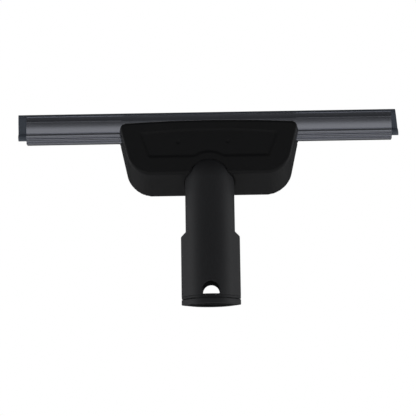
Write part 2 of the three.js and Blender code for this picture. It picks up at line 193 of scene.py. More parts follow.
def moulded(name, field, node, step):
    """A moulded piece of the head from its field, in place of its CAD node."""
    low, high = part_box(node)
    margin = Vector((MM, MM, MM))
    points, quads, normals = skin(field, low - margin, high + margin, step)
    slot = "black_moulding"
    piece = new_piece(name, points, quads.tolist(), slot, normals)
    settle(piece, "head", slot, node)


def sweep(name, sections, slot, closed=False):
    """A skin over sections of equal count; closed joins the last section to the first."""
    count = len(sections[0])
    points = [p for section in sections for p in section]
    faces = []
    for s in range(len(sections) if closed else len(sections) - 1):
        a = s * count
        b = (s + 1) % len(sections) * count
        for i in range(count):
            j = (i + 1) % count
            faces.append((a + i, a + j, b + j, b + i))
    if not closed:
        faces.append(tuple(range(count))[::-1])
        faces.append(tuple(range(len(points) - count, len(points))))
    piece = new_piece(name, points, faces, slot)
    work = bmesh.new()
    work.from_mesh(piece.data)
    bmesh.ops.triangulate(work, faces=[f for f in work.faces if len(f.verts) > 4])
    bmesh.ops.recalc_face_normals(work, faces=work.faces)
    work.to_mesh(piece.data)
    work.free()
    piece.data.set_sharp_from_angle(angle=math.radians(32))
    return piece


def turned(name, profile, slot, steps=64):
    """A turned piece about Z, from a closed profile of (radius, z) points."""
    sections = []
    for i in range(steps):
        a = 2 * math.pi * i / steps
        sections.append([(r * math.cos(a), r * math.sin(a), z) for r, z in profile])
    return sweep(name, sections, slot, closed=True)


def arc(centre, radius, start, end, steps):
    """Points on a round, from one angle to another, in degrees."""
    turns = np.radians(np.linspace(start, end, steps + 1))
    return [(centre[0] + radius * math.cos(t), centre[1] + radius * math.sin(t)) for t in turns]


# ---- finishes ----
class Signal:
    """A shader socket that takes part in Python arithmetic."""

    def __init__(self, paint, socket):
        self.paint = paint
        self.socket = socket

    def maths(self, operation, *values):
        made = self.paint.node("ShaderNodeMath", {"operation": operation}, dict(enumerate(values)))
        return Signal(self.paint, made.outputs[0])

    def __add__(self, other):
        return self.maths("ADD", self, other)

    def __radd__(self, other):
        return self.maths("ADD", other, self)

    def __sub__(self, other):
        return self.maths("SUBTRACT", self, other)

    def __rsub__(self, other):
        return self.maths("SUBTRACT", other, self)

    def __mul__(self, other):
        return self.maths("MULTIPLY", self, other)

    def __rmul__(self, other):
        return self.maths("MULTIPLY", other, self)

    def largest(self, other):
        return self.maths("MAXIMUM", self, other)

    def root(self):
        return self.maths("SQRT", self)

    def above(self, edge, width):
        """0 below the edge and 1 past it, over a soft width."""
        return self.maths("MINIMUM", ((self - edge) * (1 / width)).largest(0.0), 1.0)


class Paint:
    """A material under construction."""

    def __init__(self, name):
        self.material = bpy.data.materials.new(name)
        self.material.use_nodes = True
        self.tree = self.material.node_tree
        self.tree.nodes.clear()
        output = self.tree.nodes.new("ShaderNodeOutputMaterial")
        self.shader = self.node("ShaderNodeBsdfPrincipled")
        self.tree.links.new(self.shader.outputs[0], output.inputs["Surface"])

    def node(self, kind, settings=None, inputs=None):
        """A node of that kind: its settings are set first, then its sockets get values or links."""
        made = self.tree.nodes.new(kind)
        for key, value in (settings or {}).items():
            setattr(made, key, value)
        for key, value in (inputs or {}).items():
            self.feed(made.inputs[key], value)
        return made

    def feed(self, socket, value):
        if isinstance(value, Signal):
            self.tree.links.new(value.socket, socket)
        else:
            socket.default_value = value

    def out(self, made, name=0):
        return Signal(self, made.outputs[name])

    def place(self, stretch=(1, 1, 1)):
        """Object coordinates, stretched along each axis."""
        coordinates = self.node("ShaderNodeTexCoord")
        mapping = self.node("ShaderNodeMapping", {}, {
            "Vector": self.out(coordinates, "Object"), "Scale": stretch})
        return self.out(mapping)

    def axes(self):
        """The place across, along the depth and above the mouth of the socket, in metres."""
        split = self.node("ShaderNodeSeparateXYZ", {}, {0: self.place()})
        return [self.out(split, axis) for axis in "XYZ"]

    def noise(self, scale, detail=2.0, stretch=(1, 1, 1), roughness=0.5):
        made = self.node("ShaderNodeTexNoise", {}, {
            "Vector": self.place(stretch), "Scale": scale, "Detail": detail,
            "Roughness": roughness})
        return self.out(made, "Fac")

    def mix(self, factor, first, second):
        made = self.node("ShaderNodeMix", {"data_type": "RGBA"}, {0: factor, 6: first, 7: second})
        return Signal(self, made.outputs[2])

    def shades(self, factor, values, first, second=1.0):
        """From one strength of a colour to another."""
        return self.mix(factor, colour(values, first), colour(values, second))

    def bump(self, height, distance, strength):
        made = self.node("ShaderNodeBump", {}, {
            "Height": height, "Distance": distance, "Strength": strength})
        return self.out(made)

    def surface(self, **values):
        for key, value in values.items():
            name = key.replace("_", " ").title().replace("Ior", "IOR")
            self.feed(self.shader.inputs[name], value)
        return self.material


def colour(values, factor):
    return (*[v * factor for v in values], 1.0)


def textured_black(finish):
    """Black plastic: a smooth head, and a greyer, rougher neck and socket to grip."""
    paint = Paint("textured_black")
    grain = paint.noise(2600.0, detail=3.0)
    cloud = paint.noise(28.0, detail=4.0)
    rub = paint.noise(9.0, detail=2.0).above(0.48, 0.22)
    x, y, z = paint.axes()
    rise = (z - DOME_Z).largest(0.0)
    from_axis = (x * x + y * y + rise * rise).root()
    behind_cover = 1 - y.above(COVER[0].y - 0.25 * MM, 0.2 * MM)
    neck = (1 - from_axis.above(NECK_RADIUS + 0.04 * MM, 0.05 * MM)) * behind_cover
    below = 1 - z.above(SHELL[0].z - 2 * MM, MM)
    grip = neck.largest(below)
    base = paint.shades(grip, finish.moulding_colour, 2.1, 6.6)
    light = paint.shades(grip, finish.moulding_colour, 2.9, 8.2)
    return paint.surface(
        base_color=paint.mix(cloud * 0.55 + grain * 0.25, base, light),
        roughness=finish.moulding_roughness + (grain - 0.5) * 0.16 - rub * 0.04 + grip * 0.09,
        normal=paint.bump(grain, 0.05 * MM, 0.55),
        specular_ior_level=finish.moulding_shine)


def drawn_aluminium(finish):
    """Dark anodised extrusion, with the fine lines of the die along it."""
    paint = Paint("drawn_aluminium")
    lines = paint.noise(1.0, detail=5.0, stretch=(7.0, 2300.0, 2300.0), roughness=0.6)
    streak = paint.noise(1.0, detail=2.0, stretch=(3.0, 420.0, 420.0))
    haze = paint.noise(34.0, detail=3.0)
    return paint.surface(
        base_color=paint.shades(streak * 0.7 + haze * 0.3, finish.metal_colour, 0.86, 1.1),
        roughness=finish.metal_roughness + (lines - 0.5) * 0.12 + (haze - 0.5) * 0.06,
        normal=paint.bump(lines, 0.01 * MM, 0.5),
        metallic=1.0)


def soft_rubber(finish):
    """Smooth blue-black rubber with a dusty bloom."""
    paint = Paint("soft_rubber")
    bloom = paint.noise(60.0, detail=5.0, roughness=0.65).above(0.45, 0.3)
    skin_lines = paint.noise(1.0, detail=3.0, stretch=(40.0, 1400.0, 1400.0))
    return paint.surface(
        base_color=paint.shades(bloom * 0.6, finish.rubber_colour, 1.0, 1.35),
        roughness=0.46 + bloom * 0.16,
        normal=paint.bump(skin_lines, 0.03 * MM, 0.4))


def grey_moulding(finish):
    """Plain grey moulding of the parts that carry steam, with flow marks."""
    paint = Paint("grey_moulding")
    flow = paint.noise(1.0, detail=3.0, stretch=(30.0, 30.0, 220.0))
    grain = paint.noise(1800.0)
    return paint.surface(
        base_color=paint.shades(flow, finish.inner_colour, 0.85, 1.15),
        roughness=0.42 + flow * 0.14,
        normal=paint.bump(grain, 0.03 * MM, 0.4))


def red_silicone(finish):
    """Matt red-brown silicone with fine dust in it."""
    paint = Paint("red_silicone")
    dust = paint.noise(900.0, detail=4.0)
    cloud = paint.noise(90.0)
    return paint.surface(
        base_color=paint.shades(cloud * 0.6 + dust * 0.3, finish.seal_colour, 0.8, 1.25),
        roughness=0.6 + dust * 0.15,
        normal=paint.bump(dust, 0.02 * MM, 0.5))


def plated_steel(finish):
    """Zinc-plated steel, with a mottled plate and brushed marks."""
    paint = Paint("plated_steel")
    mottle = paint.noise(700.0, detail=4.0)
    brush = paint.noise(1.0, detail=3.0, stretch=(150.0, 150.0, 2600.0))
    return paint.surface(
        base_color=paint.shades(mottle, finish.steel_colour, 0.78),
        roughness=0.27 + mottle * 0.16,
        normal=paint.bump(brush, 0.01 * MM, 0.5),
        metallic=1.0)


def pale_floor(finish):
    """Plain pale floor with a faint speckle."""
    paint = Paint("pale_floor")
    speckle = paint.noise(40.0, detail=4.0)
    return paint.surface(
        base_color=paint.shades(speckle, finish.floor_colour, 0.98), roughness=0.7)


def finish_named(name):
    """The finish of that name, made once."""
    makers = {
        "black_moulding": textured_black, "channel_aluminium": drawn_aluminium,
        "blade_rubber": soft_rubber, "inner_plastic": grey_moulding,
        "seal_silicone": red_silicone, "screw_steel": plated_steel, "pale_floor": pale_floor}
    found = bpy.data.materials.get(makers[name].__name__)
    return found or makers[name](bpy.context.scene.squeegee_finish)


def settle(piece, body, slot, *nodes):
    """The piece rides on its body and stands for its CAD nodes. The slot is not used."""
    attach(piece, body)
    if nodes:
        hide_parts(*nodes)


# ---- the moulded shell ----
def head_outline(x, z, half_top, half_foot, foot_z, foot_round, head):
    """The outline of the head in x and z: sides that lean in to a rounded foot, a crowned top."""
    lean = (half_top - half_foot) / (head.top_z - foot_z)
    side = (np.abs(x) - half_foot - lean * (z - foot_z)) / np.sqrt(1 + lean**2)
    top = z - head.top_z - head.crown * (1 - (x / half_top) ** 2)
    return round_max(round_max(side, foot_z - z, foot_round), top, head.top_round)


def back_y(z, head):
    share = (z - head.back_foot_z) / (head.top_z - head.back_foot_z)
    return head.back_foot_y + (head.back_top_y - head.back_foot_y) * share


def head_walls(x, y, z, head, offset=0.0):
    """The head without its open front: the flared walls and the back face."""
    back = back_y(z, head)
    t = np.clip((y - back) / (COVER[1].y - back), 0, 1)

    def ramp(a, b):
        return a + (b - a) * t

    outline = head_outline(
        x, z, ramp(head.back_half_top, head.front_half_top),
        ramp(head.back_half_foot, head.front_half_foot),
        ramp(head.back_foot_z, SHELL[0].z),
        ramp(head.back_foot_round, head.front_foot_round), head)
    return round_max(0.95 * outline + offset, back - y + offset, head.edge_round)


def collar_section(x, y, inset=0.0):
    """The round neck with a key lobe on each side, as one outline drawn in by the inset."""
    lobe = bpy.context.scene.squeegee_socket.lobe_radius
    big, small = NECK_RADIUS - inset, lobe - inset
    reach = COLLAR_HALF - lobe
    lean = (big - small) / reach
    flat = math.sqrt(1 - lean**2)
    across, along = np.abs(y), np.abs(x)
    side = along * flat - across * lean
    wide = np.hypot(across, along) - big
    tip = np.hypot(across, along - reach) - small
    return np.where(side < 0, wide, np.where(side > flat * reach, tip,
                                             across * flat + along * lean - big))


def collar_top(x, z, socket, drop=0.0):
    """Above zero over the sloped shoulders of the key lobes."""
    run = COLLAR_HALF - NECK_RADIUS
    rise = socket.shoulder_rise / run
    shoulder = socket.collar_height - drop + (COLLAR_HALF - np.abs(x)) * rise
    return (z - shoulder) / math.hypot(1, rise)


def dome_distance(x, y, z):
    return np.sqrt(x**2 + y**2 + (z - DOME_Z) ** 2)


def latch_arch(x, z, socket):
    reach = np.where(z > socket.latch_z, np.hypot(x, z - socket.latch_z), np.abs(x))
    return np.maximum(reach - socket.latch_radius, socket.latch_foot_z - z)


def face_panel(x, z, head):
    """The sunk panel on the back face, whose foot arches over the dome of the neck."""
    slant = (np.abs(x) - head.panel_half_foot
             - (head.panel_half_top - head.panel_half_foot)
             * (z - head.panel_foot_z) / (head.panel_top_z - head.panel_foot_z))
    top = z - head.panel_top_z - head.panel_crown * (1 - (x / head.panel_half_top) ** 2)
    panel = round_max(round_max(slant, head.panel_foot_z - z, 2 * MM), top, 3 * MM)
    arch = np.hypot(x, z - DOME_Z) - head.panel_arch
    return round_max(panel, -arch, 2 * MM)


def tube_outside(x, y, z, grow=0.0):
    """The neck with its dome and the keyed collar, above the groove over the end ring."""
    socket = bpy.context.scene.squeegee_socket
    head = bpy.context.scene.squeegee_head
    front = COVER[0].y - FIT_GAP
    neck = np.where(z < DOME_Z, np.hypot(x, y), dome_distance(x, y, z)) - NECK_RADIUS
    neck = round_max(neck, np.minimum(z - head.neck_front_z, y - front), 0.3 * MM)
    collar = round_max(collar_section(x, y), collar_top(x, z, socket), 0.5 * MM)
    return np.minimum(neck, collar) - grow


def socket_body(x, y, z):
    """The socket tube: neck, collar, spigot for the end ring, bore and latch holes."""
    head = bpy.context.scene.squeegee_head
    socket = bpy.context.scene.squeegee_socket
    groove_foot, groove_top = RING[1].z + FIT_GAP, RING[1].z + socket.groove
    section = collar_section(x, y)
    body = round_max(tube_outside(x, y, z), groove_top - z, 0.4 * MM)
    depth = socket.spigot_step * np.clip(1 - (np.abs(x) / COLLAR_HALF) ** 4, 0.04, 1)
    waist = np.maximum(section + depth, slab(z, groove_foot, groove_top + MM))
    spigot = np.maximum(section + socket.spigot_step, slab(z, TUBE[0].z, groove_top + MM))
    body = np.minimum(body, np.minimum(waist, spigot))

    keyed = np.maximum(collar_section(x, y, socket.wall), collar_top(x, z, socket, socket.wall))
    bore = np.maximum(np.hypot(x, y) - NECK_RADIUS + socket.wall, z - socket.depth)
    core = np.hypot(x, y) - socket.core_radius
    core = np.maximum(core, slab(z, socket.depth + socket.floor, DOME_Z))
    port = np.maximum(np.hypot(x, y) - socket.port_radius, slab(z, socket.depth / 2, DOME_Z))
    dome = dome_distance(x, y, z) - NECK_RADIUS + socket.wall
    for space in (np.minimum(bore, keyed), np.minimum(core, port), dome):
        body = cut(body, space)
    steam_way = np.maximum(head.steam_back_y - y, SHELL[0].z + head.wall - z)
    return cut(cut(body, steam_way), latch_arch(x, z, socket), 0.35 * MM)


def housing_body(x, y, z):
    """The rear housing: flared walls, the back face with its sunk panel, bosses and ribs."""
    head = bpy.context.scene.squeegee_head
    front = COVER[1].y
    shell = round_max(head_walls(x, y, z, head), y - front, 0.4 * MM)
    body = cut(shell, head_walls(x, y, z, head, head.wall))
    back = back_y(z, head)
    for low, _, centre in seats(COVER_SCREWS):
        boss = rod_y(x, y, z, centre, head.boss_radius, back + head.wall / 2, COVER[0].y - FIT_GAP)
        body = smooth_min(body, np.maximum(boss, shell + head.wall / 2), 0.6 * MM)
        body = np.maximum(body, -rod_y(x, y, z, centre, PILOT_RADIUS, low.y - MM, front))
    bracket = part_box("channel_bracket")
    for rib_x in (-NECK_RADIUS, NECK_RADIUS, bracket[0].x + 4 * MM, bracket[1].x - 4 * MM):
        rib = block(x, y, z, (rib_x - MM, -1, bracket[0].z),
                    (rib_x + MM, bracket[0].y - FIT_GAP, SHELL[1].z))
        body = smooth_min(body, np.maximum(rib, shell + head.wall / 2), 0.6 * MM)
    share = np.clip(-face_panel(x, z, head) / head.panel_edge, 0, 1)
    sunk = head.panel_depth * share * share * (3 - 2 * share)
    body = np.maximum(body, (back + sunk - y) * 0.9)
    for mark in (head.mark_left, head.mark_right):
        ball = np.sqrt((x - mark) ** 2 + (z - head.mark_z) ** 2 + (y - back + 2.0 * MM) ** 2)
        body = cut(body, ball - 3.0 * MM, 0.15 * MM)
    notch = np.maximum(CHANNEL[0].y - FIT_GAP - y, CHANNEL[0].z - FIT_GAP - z)
    body = cut(body, notch, 0.4 * MM)
    return cut(body, tube_outside(x, y, z, head.parting), 0.15 * MM)


def cover_plate(x, y, z):
    """The window-side cover: a plate inside the walls, and a band over the front of the channel."""
    head = bpy.context.scene.squeegee_head
    front, back = COVER[1].y, COVER[0].y
    whole = head_outline(x, z, head.front_half_top, head.front_half_foot, SHELL[0].z,
                         head.front_foot_round, head)
    inner = head_walls(x, y, z, head, head.wall + FIT_GAP)
    band = np.maximum(whole, CHANNEL[0].z - z)
    plate = round_max(np.minimum(inner, band), slab(y, back, front), 0.5 * MM)
    field = round_max(whole + 7 * MM, front - 0.6 * MM - y, 0.2 * MM)
    plate = cut(plate, field, 0.25 * MM)
    for _, high, centre in seats(COVER_SCREWS):
        collar = rod_y(x, y, z, centre, 4.6 * MM, back, front)
        plate = smooth_min(plate, collar, 0.3 * MM)
        seat = rod_y(x, y, z, centre, 3.2 * MM, high.y - 1.9 * MM, front + MM)
        plate = cut(plate, seat, 0.25 * MM)
        plate = np.maximum(plate, -rod_y(x, y, z, centre, PILOT_RADIUS, 0, front))
    jets = bpy.context.scene.squeegee_jets
    foot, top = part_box("manifold_gasket")
    middle = (foot.z + top.z) / 2
    reach = top.x - jets.margin - jets.width / 2
    nearest = np.full_like(x, 1.0)
    for i in range(jets.count):
        centre = -reach + 2 * reach * i / (jets.count - 1)
        across = np.maximum(np.abs(x - centre) - (jets.width - jets.height) / 2, 0)
        nearest = np.minimum(nearest, np.hypot(across, z - middle) - jets.height / 2)
    flare = nearest - np.clip(y - front + 1.6 * MM, 0, 1) * 0.8
    return cut(plate, flare, 0.3 * MM)


# ---- sections of the extrusion and the blade, as (y, z) points ----
def channel_section(sizes):
    """The closed section of the channel: its outside, with the pocket and slot for the blade."""
    back, front = CHANNEL[0].y, CHANNEL[1].y
    foot, top = CHANNEL[0].z, CHANNEL[1].z
    mouth = back + sizes.mouth_depth
    middle = (back + front) / 2
    lips = back + sizes.mouth_depth / 2
    slot = sizes.slot / 2
    bead_z = foot + sizes.floor + sizes.pocket_radius
    bead = sizes.bead_radius
    outside = [
        *arc((front - 1.5 * MM, foot + 1.5 * MM), 1.5 * MM, -90, 0, 6),
        (front, bead_z + 1.7 * MM),
        *arc((front - 1.2 * MM, bead_z + 2.1 * MM), 1.2 * MM, 0, 48, 4),
        (mouth + 0.5 * MM, bead_z + 4.8 * MM), (mouth, bead_z + 5.7 * MM),
        (mouth, top - 3.4 * MM),
        *arc((mouth - 0.1 * MM, top - 2.6 * MM), 0.55 * MM, -60, 90, 6),
        (mouth - 0.5 * MM, top - 1.4 * MM),
        *arc((mouth - 0.7 * MM, top - 0.6 * MM), 0.6 * MM, 0, 90, 4),
        (lips + slot + 0.3 * MM, top),
        (lips + slot, top - 0.3 * MM),
    ]
    start = math.degrees(math.asin(slot / sizes.pocket_radius))
    pocket = [
        (lips + slot, top - sizes.lip),
        *arc((middle, bead_z), sizes.pocket_radius, 90 - start, -270 + start, 40),
        (lips - slot, top - sizes.lip),
        (lips - slot, top - 0.3 * MM),
        (lips - slot - 0.3 * MM, top),
    ]
    dish = top - sizes.dish_drop
    dish_foot = dish - sizes.dish_height
    lean_back, step, wide = back + 0.78 * MM, back + 0.22 * MM, back + 0.3 * MM
    line = foot + sizes.line_z
    gap_top = foot + sizes.gap_top
    gap_floor = back + sizes.gap_depth
    swell = sizes.swell
    outer_back = [
        *arc((back + 0.65 * MM, top - 0.25 * MM), 0.25 * MM, 90, 200, 4),
        (lean_back, dish),
        *bowed(lean_back, dish, dish_foot, sizes.dish_depth, 10, step - lean_back),
        (step, dish_foot),
        (wide, dish_foot - 0.08 * MM),
        *bowed(wide, dish_foot - 0.08 * MM, line + 0.35 * MM, -swell, 14, swell - 0.3 * MM),
        (back + swell, line + 0.3 * MM),
        (back + swell + 0.45 * MM, line + 0.14 * MM),
        (back + swell + 0.45 * MM, line - 0.14 * MM),
        (back + swell, line - 0.3 * MM),
        *bowed(back + swell, line - 0.3 * MM, gap_top, -swell, 10),
        (back + swell + 0.1 * MM, gap_top - 0.05 * MM),
        (gap_floor, gap_top - 0.1 * MM),
        (gap_floor, foot + sizes.bead_z + bead + 0.1 * MM),
        *arc((back + bead, foot + sizes.bead_z), bead, 100, 250, 8),
        (back + 1.5 * MM, foot + sizes.bead_z - bead - 0.1 * MM),
        (back + 1.6 * MM, foot + 0.6 * MM),
        *arc((back + 1.3 * MM, foot + 0.25 * MM), 0.25 * MM, 90, 270, 6),
    ]
    return outside + pocket + outer_back


def bowed(y, top, foot, depth, steps, drift=0.0):
    """A band that is hollow by the depth, or swells out below zero, and drifts over its height."""
    shares = [i / steps for i in range(1, steps)]
    return [(y + drift * t + depth * math.sin(math.pi * t), top + (foot - top) * t) for t in shares]


def blade_section(sizes, channel):
    """The rubber: a round bead, a web, and a blade with two crisp edges."""
    middle = (CHANNEL[0].y + CHANNEL[1].y) / 2
    lips = CHANNEL[0].y + channel.mouth_depth / 2
    web = sizes.web / 2
    bead_z = BLADE[0].z + sizes.bead_radius
    top = BLADE[1].z
    neck_z = CHANNEL[1].z - channel.lip
    start = math.degrees(math.asin(web / sizes.bead_radius))
    edge = 0.42 * MM
    return [
        *arc((middle, bead_z), sizes.bead_radius, 90 + start, 450 - start, 36),
        (lips + web, neck_z), (lips + web, top - 1.1 * MM), (lips + edge, top),
        (lips - edge, top), (lips - web, top - 1.1 * MM), (lips - web, neck_z),
    ]


# ---- settings ----
def length(name, description, default):
    return bpy.props.FloatProperty(
        name=name, description=description, default=default, subtype="DISTANCE", unit="LENGTH",
        precision=5)


def number(name, description, default, unit="NONE"):
    return bpy.props.FloatProperty(
        name=name, description=description, default=default, unit=unit, precision=3)


def shade(name, description, default):
    return bpy.props.FloatVectorProperty(
        name=name, description=description, default=default, subtype="COLOR", size=3, min=0, max=1)


class SqueegeeHead(bpy.types.PropertyGroup):
    """Sizes of the moulded head."""

    wall: length("Wall", "Thickness of the shell", 2.2 * MM)
    top_z: length("Top", "Height of the top corners above the mouth", SHELL[1].z - 1.8 * MM)
    crown: length("Crown", "Rise of the top edge in the middle", 1.8 * MM)
    top_round: length("Top corner", "Radius of the top corners", 4.6 * MM)
    front_half_top: length("Front half width, top", "Half width of the front edge", 61 * MM)
    front_half_foot: length("Front half width, foot", "Half width of the front edge", 51.3 * MM)
    back_half_top: length("Back half width, top", "Half width of the back face", 58.2 * MM)
    back_half_foot: length("Back half width, foot", "Half width of the back face", 49.8 * MM)
    front_foot_round: length("Front foot corner", "Radius of the foot corners in front", 13.5 * MM)
    back_foot_round: length("Back foot corner", "Radius of the foot corners behind", 12 * MM)
    back_foot_z: length("Back foot", "Height of the foot of the back face", SHELL[0].z + 11 * MM)
    back_foot_y: length("Back foot depth", "Place of the back face at its foot", -10.6 * MM)
    back_top_y: length("Back top depth", "Place of the back face at its top", SHELL[0].y)
    edge_round: length("Back edge", "Rounding round the back face", 1.6 * MM)
    parting: length("Parting line", "Gap between the neck and the shell", 0.12 * MM)
    steam_back_y: length("Steam way", "Where the neck is open in front", 1.8 * MM)
    neck_front_z: length("Neck front", "Where the neck stops in front", SHELL[0].z - 0.5 * MM)
    boss_radius: length("Boss", "Radius of the screw bosses", 3.4 * MM)
    panel_half_top: length("Panel half width, top", "Half width of the sunk panel", 46.2 * MM)
    panel_half_foot: length("Panel half width, foot", "Half width of the sunk panel", 39.4 * MM)
    panel_top_z: length("Panel top", "Height of its top corners", SHELL[1].z - 7.4 * MM)
    panel_foot_z: length("Panel foot", "Height of its foot", SHELL[0].z + 20.9 * MM)
    panel_crown: length("Panel crown", "Rise of its top edge", 2.2 * MM)
    panel_arch: length("Panel arch", "Radius of the arch over the dome", 15.6 * MM)
    panel_depth: length("Panel depth", "How deep the panel is sunk", 0.6 * MM)
    panel_edge: length("Panel edge", "Width of the soft step round the panel", 2.5 * MM)
    mark_left: length("Left mark", "Place of the left moulding mark", -19.8 * MM)
    mark_right: length("Right mark", "Place of the right moulding mark", 12.2 * MM)
    mark_z: length("Mark height", "Height of the moulding marks", SHELL[0].z + 31.7 * MM)


class SqueegeeSocket(bpy.types.PropertyGroup):
    """Sizes of the socket."""

    wall: length("Wall", "Thickness of the socket wall", 2 * MM)
    lobe_radius: length("Key lobe", "Radius of the key lobes", 3.2 * MM)
    collar_height: length("Collar", "Height of the foot of the shoulders", 44.3 * MM)
    shoulder_rise: length("Shoulder", "Rise of the sloped shoulders", 2.5 * MM)
    depth: length("Depth", "Depth of the bore for the wand", 58 * MM)
    floor: length("Floor", "Thickness of the floor of the bore", 3 * MM)
    core_radius: length("Core", "Radius of the hollow above the floor", 8.5 * MM)
    port_radius: length("Port", "Radius of the hole for the inlet", 3.8 * MM)
    latch_radius: length("Latch hole", "Half width of the latch hole", 5.4 * MM)
    latch_z: length("Latch height", "Height of the centre of its arch", 8.9 * MM)
    latch_foot_z: length("Latch foot", "Height of its flat foot", 6.1 * MM)
    groove: length("Groove", "Height of the groove over the end ring", 1.9 * MM)
    spigot_step: length("Spigot step", "How far the end steps in", 1.2 * MM)


class SqueegeeChannel(bpy.types.PropertyGroup):
    """Sizes of the aluminium channel."""

    floor: length("Floor", "Thickness under the pocket", 2.2 * MM)
    mouth_depth: length("Mouth depth", "Depth across the lips", 5.6 * MM)
    slot: length("Slot", "Width of the slot for the blade", 2.5 * MM)
    lip: length("Lip", "Height of the lips beside the slot", 2.4 * MM)
    pocket_radius: length("Pocket", "Radius of the pocket for the bead", 2.6 * MM)
    dish_drop: length("Dish drop", "From the top to the hollow band", 0.5 * MM)
    dish_height: length("Dish height", "Height of the hollow band", 3.3 * MM)
    dish_depth: length("Dish depth", "Depth of the hollow band", 0.08 * MM)
    swell: length("Swell", "How far the two wide bands swell out", 0.16 * MM)
    line_z: length("Line height", "Height of the fine groove", 6.6 * MM)
    gap_top: length("Gap top", "Height of the top of the gap over the bead", 3.7 * MM)
    gap_depth: length("Gap depth", "How deep the gap over the bead is", 1.9 * MM)
    bead_z: length("Bead height", "Height of the bead along the foot", 1.85 * MM)
    bead_radius: length("Bead radius", "Radius of the bead along the foot", 0.48 * MM)


class SqueegeeBlade(bpy.types.PropertyGroup):
    """Sizes of the rubber blade."""

    web: length("Web", "Thickness of the web", 1.9 * MM)
    bead_radius: length("Bead", "Radius of the bead in the pocket", 2.3 * MM)
    slant: number("Slant", "How far the right end leans in for each metre of height", 0.1)


class SqueegeeJets(bpy.types.PropertyGroup):
    """The row of steam jets in the cover."""

    count: bpy.props.IntProperty(name="Count", description="Number of jets", default=5, min=2)
    width: length("Width", "Length of a slot", 6 * MM)
    height: length("Height", "Height of a slot", 2.4 * MM)
    margin: length("Margin", "From the last jet to the end of the manifold", 7 * MM)


class SqueegeeFinish(bpy.types.PropertyGroup):
    """Colours and gloss."""

    moulding_colour: shade("Moulding", "Black plastic", (0.0075, 0.0077, 0.0083))
    moulding_roughness: number("Moulding roughness", "Gloss of the black plastic", 0.44)
    moulding_shine: number("Moulding shine", "Strength of its reflections", 0.32)
    metal_colour: shade("Channel", "Anodised aluminium", (0.66, 0.68, 0.76))
    metal_roughness: number("Channel roughness", "Gloss of the channel", 0.24)
    rubber_colour: shade("Blade", "Rubber", (0.19, 0.22, 0.27))
    inner_colour: shade("Inner plastic", "Parts that carry steam", (0.2, 0.2, 0.21))
    seal_colour: shade("Seals", "Silicone", (0.36, 0.07, 0.045))
    steel_colour: shade("Screws", "Plated steel", (0.62, 0.62, 0.6))
    floor_colour: shade("Floor", "Pale floor", (0.82, 0.82, 0.82))


class SqueegeeStudio(bpy.types.PropertyGroup):
    """Camera, lights and floor."""

    distance: length("Distance", "Camera to its aim", 869.5 * MM)
    azimuth: number("Azimuth", "Way round from the back in degrees", 0.49)
    elevation: number("Elevation", "Height of the view in degrees", -9.31)
    roll: number("Roll", "Turn of the view in degrees", 0.86)
    aim: bpy.props.FloatVectorProperty(
        name="Aim", description="Point that the camera looks at", size=3, subtype="TRANSLATION",
        default=(-1.26 * MM, 0, 63.2 * MM))
    lens: number("Lens", "Focal length in mm", 115.8)
    side_power: number("Side lights", "Power of each side light", 2.8, "POWER")
    front_power: number("Front light", "Power of the long low light", 1.4, "POWER")
    floor_power: number("Floor light", "Power of the light on the floor", 2.3, "POWER")
    window_power: number("Window light", "Power of the light on the window side", 7.0, "POWER")
    fill: number("Fill", "Brightness of the room", 0.035)
    floor_drop: length("Floor", "How far the floor lies below the mouth", 450 * MM)


# ---- operators ----
class SQUEEGEE_OT_housing(bpy.types.Operator):
    """Make the rear housing of the head"""

    bl_idname = "squeegee.housing"
    bl_label = "Rear housing"

    def execute(self, context):
        moulded("head_shell", housing_body, "rear_housing", 0.66 * MM)
        return {"FINISHED"}


class SQUEEGEE_OT_socket(bpy.types.Operator):
    """Make the socket tube for the wand"""

    bl_idname = "squeegee.socket"
    bl_label = "Socket tube"

    def execute(self, context):
        moulded("wand_socket_tube", socket_body, "socket_tube", 0.5 * MM)
        return {"FINISHED"}


class SQUEEGEE_OT_cover(bpy.types.Operator):
    """Make the window-side cover with its jets and screw seats"""

    bl_idname = "squeegee.cover"
    bl_label = "Front cover"

    def execute(self, context):
        moulded("window_cover", cover_plate, "front_cover", 0.62 * MM)
        return {"FINISHED"}


class SQUEEGEE_OT_end_ring(bpy.types.Operator):
    """Make the ring at the mouth of the socket"""

    bl_idname = "squeegee.end_ring"
    bl_label = "End ring"

    def execute(self, context):
        socket = context.scene.squeegee_socket
        top = RING[1].z
        inside = socket.spigot_step - FIT_GAP
        wall = socket.wall
        profile = [
            *arc((0.4 * MM, 0.4 * MM), 0.4 * MM, 180, 270, 5), (wall - 0.3 * MM, 0),
            (wall, 0.3 * MM), (wall, 0.8 * MM), (inside, 0.8 * MM), (inside, top),
            (0.35 * MM, top), (0, top - 0.35 * MM)]
        sections = []
        for inset, z in profile:
            sections.append([(x, y, z) for x, y in self.outline(socket, inset)])
        ring = sweep("socket_ring", sections, "black_moulding", closed=True)
        settle(ring, "head", "black_moulding", "socket_end_ring")
        return {"FINISHED"}

    @staticmethod
    def outline(socket, inset):
        lobe = socket.lobe_radius
        reach = COLLAR_HALF - lobe
        lean = math.degrees(math.acos((NECK_RADIUS - lobe) / reach))
        big, small = NECK_RADIUS - inset, lobe - inset
        return [*arc((reach, 0), small, -lean, lean, 14),
                *arc((0, 0), big, lean, 180 - lean, 40),
                *arc((-reach, 0), small, 180 - lean, 180 + lean, 14),
                *arc((0, 0), big, 180 + lean, 360 - lean, 40)]


